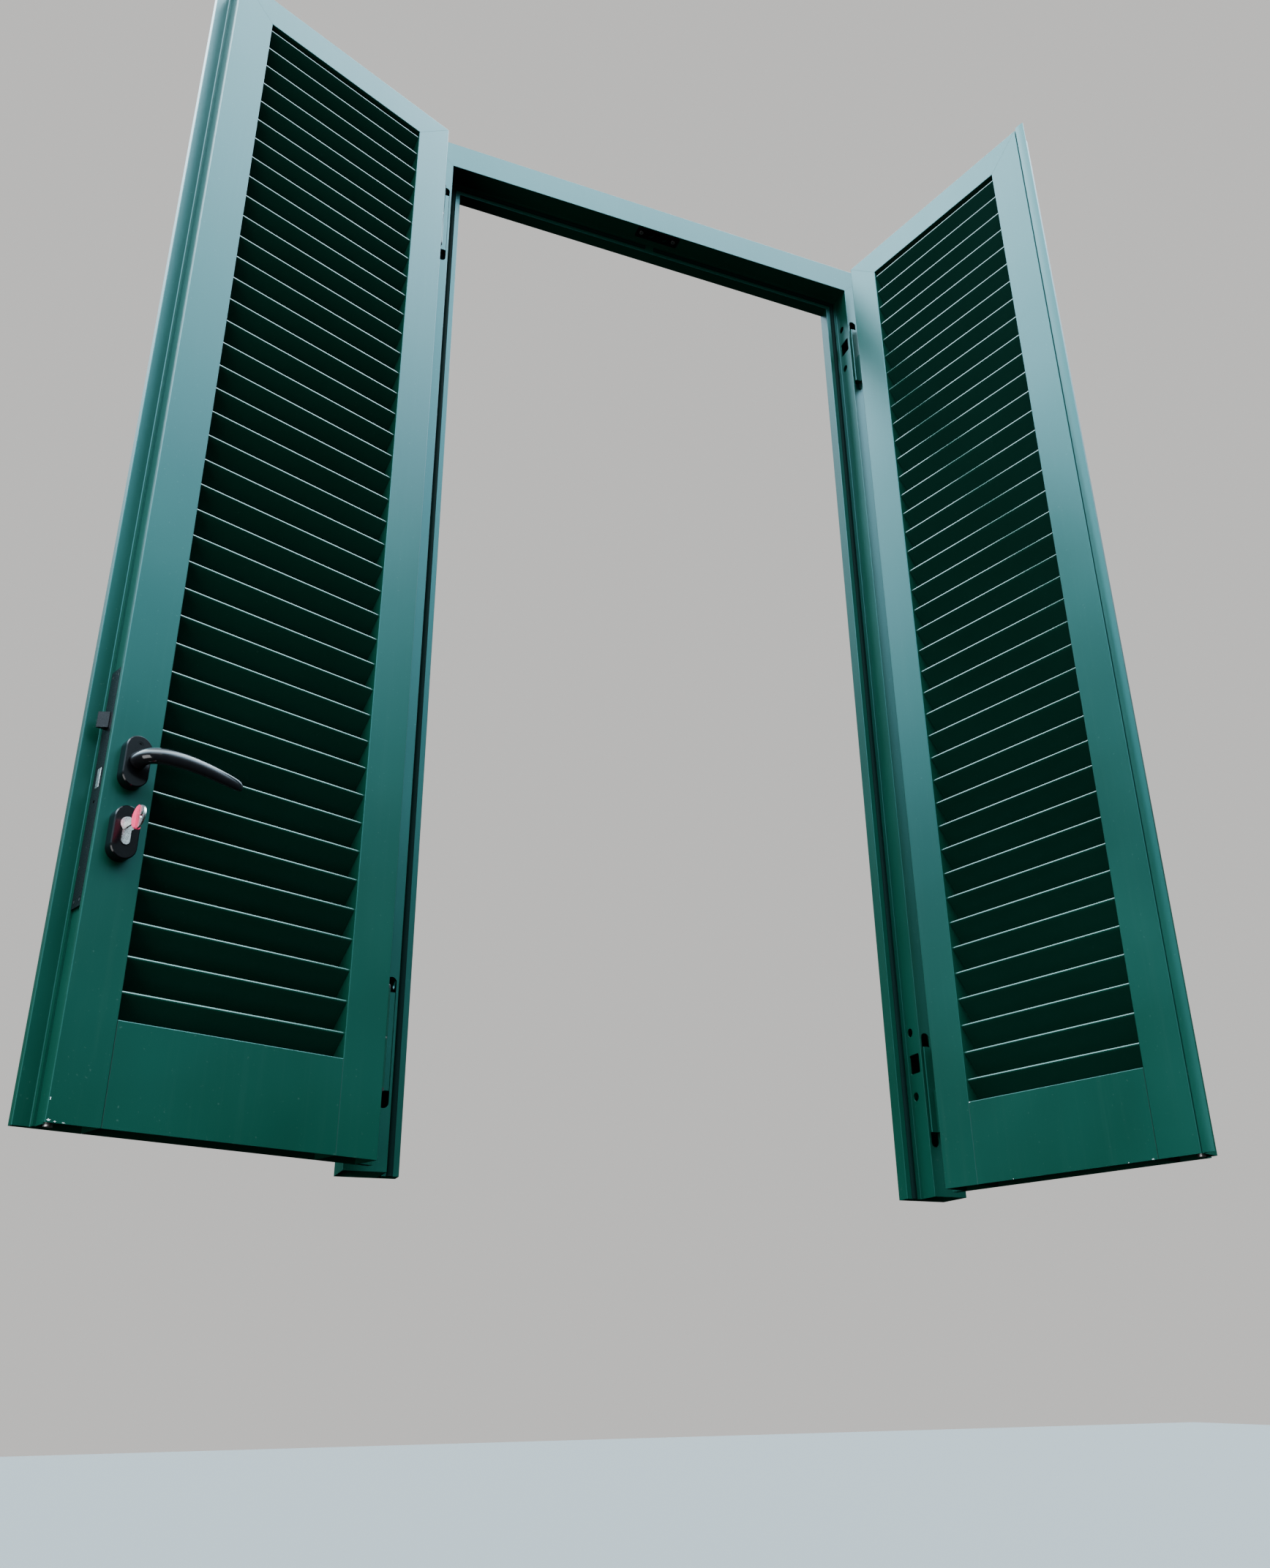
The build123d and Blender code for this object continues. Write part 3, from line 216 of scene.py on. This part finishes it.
def bumped(tree, height, depth, shader):
    """A height fed to the shader's normal, with its depth in metres."""
    bump = tree.nodes.new("ShaderNodeBump")
    bump.inputs["Strength"].default_value = 1.0
    bump.inputs["Distance"].default_value = depth
    tree.links.new(height, bump.inputs["Height"])
    tree.links.new(bump.outputs["Normal"], shader.inputs["Normal"])


def coat_material(name, deep, light, dust, roughness, dust_share, grain_depth, tint,
                  glaze=0.0, specular=0.5):
    """Satin powder coat in one colour range."""
    material, tree, shader = new_material(name)
    group = tree.nodes.new("ShaderNodeGroup")
    group.node_tree = weather
    colour = mixed(tree, group.outputs["Fade"], deep, light)
    for mask, share in (("Streak", 0.02), ("Dust", dust_share), ("Speck", 0.12)):
        cover = ranged(tree, group.outputs[mask], 0.0, 1.0, 0.0, share)
        colour = mixed(tree, cover, colour, dust)
    tree.links.new(colour, shader.inputs["Base Color"])
    rough = ranged(tree, group.outputs["Fade"], 0.0, 1.0, roughness - 0.03, roughness + 0.04)
    add = tree.nodes.new("ShaderNodeMath")
    add.operation = "ADD"
    tree.links.new(rough, add.inputs[0])
    tree.links.new(ranged(tree, group.outputs["Dust"], 0.0, 1.0, 0.0, 0.25), add.inputs[1])
    tree.links.new(add.outputs[0], shader.inputs["Roughness"])
    shader.inputs["Specular Tint"].default_value = tint
    shader.inputs["Specular IOR Level"].default_value = specular
    shader.inputs["Coat Weight"].default_value = glaze
    shader.inputs["Coat Roughness"].default_value = 0.12
    bumped(tree, group.outputs["Grain"], grain_depth, shader)
    return material


def dress(material, *names):
    """The material on CAD nodes."""
    for name in names:
        mesh = nodes[name].data
        mesh.materials.clear()
        mesh.materials.append(material)


# Frame and leaf sections: extruded aluminium, cut and joined at mitres and butt joints. They
# share one deep green satin powder coat with the hinge bases and wings.
green = coat_material("green_coat", (0.0004, 0.029, 0.0155, 1), (0.0007, 0.038, 0.0215, 1),
                      (0.16, 0.24, 0.20, 1), 0.33, 0.16, 0.00005, (0.34, 0.92, 1.0, 1.0))
dress(green, "frame_head", "frame_jamb_left", "frame_jamb_right", "left_hinge_bases", "right_hinge_bases",
      "left_hinge_stile", "left_lock_stile", "left_top_rail", "left_bottom_rail", "left_hinge_wings",
      "right_hinge_stile", "right_meeting_stile", "right_top_rail", "right_bottom_rail",
      "right_hinge_wings", "right_cover_strip")


# Seams of the leaves and the frame: hairlines of shadow along each mitre and along the
# butt joints of the bottom rails, 0.36 mm wide, lying on the coated faces.
seam_paint, seam_tree, seam_shader = new_material("seam_shadow")
seam_grain = link_noise(seam_tree, 240.0, 3.0, own_point(seam_tree))
seam_colour = mixed(seam_tree, seam_grain, (0.001, 0.008, 0.006, 1), (0.006, 0.022, 0.018, 1))
seam_tree.links.new(seam_colour, seam_shader.inputs["Base Color"])
seam_shader.inputs["Roughness"].default_value = 0.8

leaves = ((-1, "left"), (1, "right"))
room, street = (0, 1, 0), (0, -1, 0)


def leaf_matrix(side):
    """Leaf's frame as it stands open: X from the hinge edge, Y to the room, Z up from its top."""
    angle = math.radians(-157.8 if side < 0 else 105.3)
    pin = Vector((side * 0.4315, -0.0765, 0.0))
    swing = Matrix.Translation(pin) @ Matrix.Rotation(angle, 4, "Z") @ Matrix.Translation(-pin)
    closed = Matrix.Translation((side * 0.405, -0.027, -0.003)) @ Matrix.Diagonal((-side, 1.0, 1.0, 1.0))
    return swing @ closed


def ring_faces(base, count):
    """Faces of a prism whose two rings of points follow each other from base."""
    faces = [tuple(base + k for k in range(count)),
             tuple(base + count + k for k in reversed(range(count)))]
    for k in range(count):
        after = (k + 1) % count
        faces.append((base + k, base + after, base + count + after, base + count + k))
    return faces


def add_piece(name, matrix, points, faces, material, body, smooth=False):
    """One mesh from points in millimetres, put in place and set riding on a body."""
    mesh = bpy.data.meshes.new(name)
    mesh.from_pydata([tuple(matrix @ (Vector(p) / 1000.0)) for p in points], [], faces)
    shell = bmesh.new()
    shell.from_mesh(mesh)
    bmesh.ops.recalc_face_normals(shell, faces=shell.faces)
    shell.to_mesh(mesh)
    shell.free()
    mesh.materials.append(material)
    for polygon in mesh.polygons:
        polygon.use_smooth = smooth
    piece = bpy.data.objects.new(name, mesh)
    bpy.context.scene.collection.objects.link(piece)
    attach(piece, body)
    return piece


def hairlines(name, matrix, runs, body):
    """Thin raised lines, each between two points on a face whose normal is given."""
    half_width, half_height = 0.18, 0.02
    points = []
    faces = []
    for start, stop, normal in runs:
        along = (Vector(stop) - Vector(start)).normalized()
        aside = along.cross(Vector(normal)) * half_width
        lift = Vector(normal) * half_height
        faces += ring_faces(len(points), 4)
        for end_point in (Vector(start), Vector(stop)):
            points += [end_point - aside - lift, end_point - aside + lift,
                       end_point + aside + lift, end_point + aside - lift]
    return add_piece(name, matrix, points, faces, seam_paint, body)


leaf_width, leaf_depth = 402.0, 48.0
stile = 59.0
mitre_foot = -54.9
leaf_foot = -1771.9
for side, leaf in leaves:
    lead_top = (420.0, -leaf_depth, 16.8) if side < 0 else (386.5, -leaf_depth, -14.5)
    near, far = stile - 0.1, leaf_width - stile + 0.1
    runs = [
        ((1.3, 0, -1.2), (near, 0, mitre_foot), room),
        ((leaf_width - 1.3, 0, -1.2), (far, 0, mitre_foot), room),
        ((-18.0, -leaf_depth, 16.8), (near, -leaf_depth, mitre_foot), street),
        (lead_top, (far, -leaf_depth, mitre_foot), street),
    ]
    for u in (stile, leaf_width - stile):
        runs.append(((u, 0, -1656.5), (u, 0, leaf_foot), room))
        runs.append(((u, -leaf_depth, -1690.5), (u, -leaf_depth, leaf_foot), street))
    hairlines(leaf + "_seams", leaf_matrix(side), runs, leaf + "_leaf")
hairlines("frame_seams", Matrix.Identity(4), [
    ((side * 410.8, -60.0, 0.8), (side * 465.2, -60.0, 55.2), street) for side in (-1, 1)
], "frame")


# Slats: forty to a leaf, 59 mm wide at 40 mm pitch, each a thin curved aluminium blade that
# leans down from a rounded 5 mm lip. The blades are matt with dust and the lips glossy. The
# blades' coat is a darker copy of the frame's green, painted shade, and the lips' coat a lighter
# copy, a painted highlight. The mesh is smooth over the lip and creased along the blade's edge
# and at both ends.
slat_shaded_green = coat_material("slat_coat_painted_shade", (0.0004, 0.026, 0.014, 1), (0.0007, 0.034, 0.019, 1),
                           (0.10, 0.15, 0.125, 1), 0.42, 0.12, 0.00004, (0.34, 0.92, 0.98, 1.0),
                           specular=0.30)
lip_highlit_green = coat_material("lip_coat_painted_highlight", (0.0005, 0.030, 0.017, 1), (0.0008, 0.040, 0.023, 1),
                          (0.15, 0.20, 0.17, 1), 0.22, 0.05, 0.00003, (0.60, 1.0, 0.98, 1.0),
                          glaze=0.7)
dress(slat_shaded_green, "left_slats", "right_slats")
lip_radius, blade_width, thinning = 2.4, 59.0, 1.6
under_bow, over_bow = 1.2, 10.0
lip_steps, blade_steps = 12, 10
section = []
for step in range(lip_steps + 1):
    angle = math.radians(90 + 15 * step)
    section.append((lip_radius * math.cos(angle), lip_radius * math.sin(angle)))
for step in range(1, blade_steps + 1):
    along = step / blade_steps
    section.append((blade_width * along, thinning * along - lip_radius - under_bow * along * (1 - along)))
for step in range(blade_steps):
    along = 1 - step / blade_steps
    section.append((blade_width * along, lip_radius - thinning * along + over_bow * along * (1 - along)))
lean = math.radians(-139.0)
leaned = [(x * math.cos(lean) - y * math.sin(lean), x * math.sin(lean) + y * math.cos(lean))
          for x, y in section]
rows, row_drop, first_row, lip_inset = 40, 40.0, -65.5, 5.4
count = len(leaned)
for side, leaf in leaves:
    points = []
    faces = []
    for row in range(rows):
        faces += ring_faces(len(points), count)
        for u in (stile + 0.3, leaf_width - stile - 0.3):
            points += [(u, y - lip_inset, z + first_row - row_drop * row) for z, y in leaned]
    blades = add_piece(leaf + "_blades", leaf_matrix(side), points, faces, slat_shaded_green, leaf + "_leaf",
                       smooth=True)
    creases = bmesh.new()
    creases.from_mesh(blades.data)
    for edge in creases.edges:
        edge.smooth = edge.calc_face_angle(0.0) < math.radians(40)
    creases.to_mesh(blades.data)
    creases.free()
    blades.data.materials.append(lip_highlit_green)
    for polygon in blades.data.polygons:
        part = polygon.index % (count + 2) - 2
        polygon.material_index = 1 if 0 <= part < lip_steps else 0
    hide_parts(leaf + "_slats")


# Small metal: zinc-plated steel with fine drawn lines for the pins, rings, screws, bolts
# and spindle, a paler drawn aluminium for the rods and cast grey for the corner keys.
def metal_material(name, colour, dull, roughness, lines, depth, metallic=1.0):
    """Plated or drawn metal with fine lines, dull blotches and small scratches."""
    material, tree, shader = new_material(name)
    shader.inputs["Metallic"].default_value = metallic
    here = own_point(tree)
    blotch = ranged(tree, link_noise(tree, 120.0, 4.0, here, 0.65), 0.35, 0.7, 0.0, 1.0)
    tree.links.new(mixed(tree, blotch, colour, dull), shader.inputs["Base Color"])
    drawn = link_noise(tree, 1.0, 3.0, stretched(tree, here, lines), 0.7)
    rough = ranged(tree, drawn, 0.3, 0.7, roughness - 0.08, roughness + 0.14)
    tree.links.new(rough, shader.inputs["Roughness"])
    bumped(tree, drawn, depth, shader)
    return material


steel = metal_material("plated_steel", (0.62, 0.62, 0.60, 1), (0.42, 0.42, 0.40, 1), 0.32,
                       (2600.0, 2600.0, 160.0), 0.00001)
dress(steel, "hinge_pins", "hinge_rings", "left_wing_screws", "right_wing_screws", "strike_screws",
      "handle_spindle", "dead_bolt", "lock_case")
rod_metal = metal_material("drawn_rod", (0.78, 0.78, 0.77, 1), (0.58, 0.58, 0.57, 1), 0.36,
                           (2200.0, 2200.0, 90.0), 0.00001)
dress(rod_metal, "left_upper_rod", "left_lower_rod", "right_upper_rod", "right_lower_rod")
cast = metal_material("cast_keys", (0.50, 0.50, 0.49, 1), (0.36, 0.36, 0.35, 1), 0.55,
                      (700.0, 700.0, 700.0), 0.00008)
dress(cast, "frame_corner_keys", "left_corner_keys", "right_corner_keys")


# Black pieces: satin coated plates and covers, fine matt plastic caps and guides, and the
# soft seal. Each has its own grain; the lock's plate is rubbed bare in small spots.
def black_material(name, colour, worn, roughness, grain, depth, wear, specular=0.5):
    """Black finish with a fine grain and rubbed spots."""
    material, tree, shader = new_material(name)
    here = own_point(tree)
    fine = link_noise(tree, grain, 3.0, here, 0.6)
    rubbed = ranged(tree, link_noise(tree, 85.0, 5.0, here, 0.75), 0.66, 0.74, 0.0, wear)
    tree.links.new(mixed(tree, rubbed, colour, worn), shader.inputs["Base Color"])
    rough = ranged(tree, fine, 0.3, 0.7, roughness - 0.06, roughness + 0.08)
    tree.links.new(rough, shader.inputs["Roughness"])
    shader.inputs["Specular IOR Level"].default_value = specular
    bumped(tree, fine, depth, shader)
    return material


satin_black = black_material("satin_black", (0.0025, 0.0025, 0.003, 1), (0.03, 0.03, 0.03, 1),
                             0.15, 1400.0, 0.00001, 0.25, specular=0.30)
dress(satin_black, "handle_rosette", "escutcheon", "rosette_screw", "head_strike_plate", "right_strike_plate")
plate_black = black_material("plate_black", (0.004, 0.004, 0.0045, 1), (0.30, 0.29, 0.27, 1),
                             0.26, 1200.0, 0.00003, 0.8, specular=0.22)
dress(plate_black, "lock_faceplate", "faceplate_screws", "latch_bolt")
matt_black = black_material("matt_plastic", (0.010, 0.010, 0.010, 1), (0.06, 0.06, 0.06, 1),
                            0.52, 1800.0, 0.00004, 0.3)
dress(matt_black, "hinge_caps", "left_rod_guides", "right_rod_guides")
seal_black = black_material("seal_rubber", (0.002, 0.010, 0.008, 1), (0.03, 0.04, 0.036, 1),
                            0.68, 900.0, 0.00006, 0.6, specular=0.03)
dress(seal_black, "frame_seals")


# Lever handle: a smooth gloss-black lever on a round neck, about 120 mm long. It leaves the
# neck 42 mm from the stile, sweeps over in one curve and tapers to a flattened round tip.
gloss_black, gloss_tree, gloss_shader = new_material("gloss_black")
smear = link_noise(gloss_tree, 45.0, 4.0, own_point(gloss_tree), 0.7)
gloss_colour = mixed(gloss_tree, smear, (0.004, 0.004, 0.005, 1), (0.009, 0.009, 0.010, 1))
gloss_tree.links.new(gloss_colour, gloss_shader.inputs["Base Color"])
gloss_tree.links.new(ranged(gloss_tree, smear, 0.35, 0.7, 0.07, 0.20), gloss_shader.inputs["Roughness"])
gloss_shader.inputs["Specular IOR Level"].default_value = 0.38
gloss_shader.inputs["Coat Weight"].default_value = 0.25
gloss_shader.inputs["Coat Roughness"].default_value = 0.05
dress(gloss_black, "lever_handle")

lever = [j for j in frame["joints"] if j["name"] == "lever_turn"][0]
above = Vector((0, 0, 1))
out = -Vector(lever["axis"])
hinge_way = above.cross(out)
stile_face = Vector(lever["pos_m"]) - out * 0.015
handle_turn = Matrix((hinge_way, above, out)).transposed().to_4x4()
handle_matrix = Matrix.Translation(stile_face) @ handle_turn


def swept(name, matrix, stations, material, body):
    """A smooth closed body through ovals: centre, half width in the sweep's plane, half height."""
    around = 20
    points = []
    faces = []
    for row, (centre, half_across, half_up) in enumerate(stations):
        ahead = Vector(stations[min(row + 1, len(stations) - 1)][0]) - Vector(stations[max(row - 1, 0)][0])
        across = Vector((ahead.z, 0, -ahead.x)).normalized()
        for k in range(around):
            angle = 2 * math.pi * k / around
            rim = across * math.cos(angle) * half_across + Vector((0, 1, 0)) * math.sin(angle) * half_up
            points.append(Vector(centre) + rim)
    for row in range(len(stations) - 1):
        for k in range(around):
            a = row * around + k
            b = row * around + (k + 1) % around
            faces.append((a, b, b + around, a + around))
    faces.append(tuple(range(around)))
    faces.append(tuple(reversed(range(len(points) - around, len(points)))))
    piece = add_piece(name, matrix, points, faces, material, body, smooth=True)
    rounding = piece.modifiers.new("smooth", "SUBSURF")
    rounding.levels = 2
    rounding.render_levels = 2
    return piece


handle = swept("lever_grip", handle_matrix, [
    ((0, 0, 15.3), 10.2, 10.2),
    ((0, 0, 16.2), 10.6, 10.6),
    ((0.2, 0.2, 21.0), 9.8, 9.8),
    ((1.5, 0.8, 28.0), 9.4, 9.6),
    ((5.5, 1.4, 35.0), 9.0, 9.8),
    ((13.0, 1.8, 40.8), 8.0, 10.0),
    ((24.0, 2.0, 44.2), 7.0, 10.0),
    ((40.0, 1.8, 46.3), 6.2, 9.8),
    ((58.0, 0.8, 46.6), 5.7, 9.4),
    ((76.0, -0.6, 45.2), 5.3, 9.0),
    ((94.0, -2.4, 43.0), 5.0, 8.5),
    ((108.0, -3.9, 40.8), 4.6, 8.0),
    ((115.5, -4.7, 39.4), 4.0, 7.0),
    ((119.2, -5.1, 38.7), 2.6, 4.8),
    ((120.6, -5.3, 38.4), 0.8, 1.6),
], gloss_black, "lever")
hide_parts("lever_handle")


# Cylinder, plug and key: satin nickel with crossed scratches around the keyway, and a soft
# pink cap with a rounded rim over the near part of the key's bow.
nickel = metal_material("scratched_nickel", (0.72, 0.70, 0.66, 1), (0.50, 0.48, 0.45, 1), 0.24,
                        (900.0, 3400.0, 900.0), 0.00003)
dress(nickel, "lock_cylinder", "cylinder_plug", "key_blade")
pink, pink_tree, pink_shader = new_material("pink_cap")
pink_here = own_point(pink_tree)
grime = ranged(pink_tree, link_noise(pink_tree, 190.0, 4.0, pink_here, 0.7), 0.4, 0.75, 0.0, 0.6)
pink_colour = mixed(pink_tree, grime, (0.86, 0.030, 0.115, 1), (0.55, 0.025, 0.08, 1))
pink_tree.links.new(pink_colour, pink_shader.inputs["Base Color"])
pink_shader.inputs["Roughness"].default_value = 0.50
pink_shader.inputs["Specular IOR Level"].default_value = 0.25
bumped(pink_tree, link_noise(pink_tree, 1500.0, 2.0, pink_here), 0.00003, pink_shader)
dress(pink, "key_cap")


# Screw recesses: painted shade, a small dark cross on each visible screw head in place of the
# shaded socket, 0.05 mm above the metal, on the wings, the lock's plate and the head's plate.
screw_socket_shade = black_material("screw_socket_painted_shade", (0.002, 0.002, 0.002, 1), (0.02, 0.02, 0.02, 1),
                        0.7, 700.0, 0.00003, 0.3)


def crosses(name, matrix, centres, axes, reach, body):
    """Flat crosses on screw heads; axes are the two directions across the head."""
    first, second = (Vector(a) for a in axes)
    normal = first.cross(second)
    outline = ((1, 4), (-1, 4), (-1, 1), (-4, 1), (-4, -1), (-1, -1),
               (-1, -4), (1, -4), (1, -1), (4, -1), (4, 1), (1, 1))
    points = []
    faces = []
    for centre in centres:
        faces += ring_faces(len(points), len(outline))
        for lift in (-0.1, 0.05):
            for a, b in outline:
                points.append(Vector(centre) + (first * a + second * b) * reach / 4 + normal * lift)
    return add_piece(name, matrix, points, faces, screw_socket_shade, body)


leaf_top, middle_screw, screw_pitch = 3.0, 33.175, 18.0
for (side, leaf), hinge_drops in zip(leaves, ((147.0, 1612.0), (168.0, 1620.0))):
    spots = [(5.1, -53.0, leaf_top - drop + middle_screw + step * screw_pitch)
             for drop in hinge_drops for step in (-1, 0, 1)]
    crosses(leaf + "_wing_crosses", leaf_matrix(side), spots, ((1, 0, 0), (0, 0, 1)), 2.0,
            leaf + "_leaf")
plate_spots = [(leaf_width, -19.0 + across * 6.96, z) for z in (-1248.0, -1530.0) for across in (-1, 1)]
crosses("plate_crosses", leaf_matrix(-1), plate_spots, ((0, 1, 0), (0, 0, 1)), 1.8,
        "left_leaf")
crosses("strike_crosses", Matrix.Identity(4), [(side * 33.0, -46.0, -2.4) for side in (-1, 1)],
        ((0, 1, 0), (1, 0, 0)), 2.2, "frame")


# Chips: where the leaves' lower corners and edges have been knocked, the coat is gone in a
# few small flakes down to pale primer, each under 5 mm across.
primer = metal_material("bare_primer", (0.62, 0.64, 0.62, 1), (0.45, 0.48, 0.46, 1), 0.6,
                        (500.0, 500.0, 500.0), 0.00005, metallic=0.15)
rim_points = 9
for (side, leaf), flakes in zip(leaves, (
    ((398.5, -1769.5, 2.4, 1.6), (392.0, -1770.6, 1.5, 0.9), (400.2, -1748.0, 0.8, 2.2),
     (383.0, -1771.0, 2.0, 0.7)),
    ((60.6, -1657.6, 1.5, 1.0), (336.0, -1771.0, 2.2, 0.8), (301.0, -1771.3, 1.2, 0.6),
     (120.5, -1771.2, 0.9, 0.6)),
)):
    points = []
    faces = []
    for u, z, wide, high in flakes:
        faces += ring_faces(len(points), rim_points)
        for lift in (-0.06, 0.05):
            for k in range(rim_points):
                angle = 2 * math.pi * k / rim_points
                ragged = 0.72 + 0.28 * math.sin(u + k * 78.233)
                along, upward = wide * ragged * math.cos(angle), high * ragged * math.sin(angle)
                points.append((u + along, lift, z + upward))
    add_piece(leaf + "_chips", leaf_matrix(side), points, faces, primer, leaf + "_leaf")
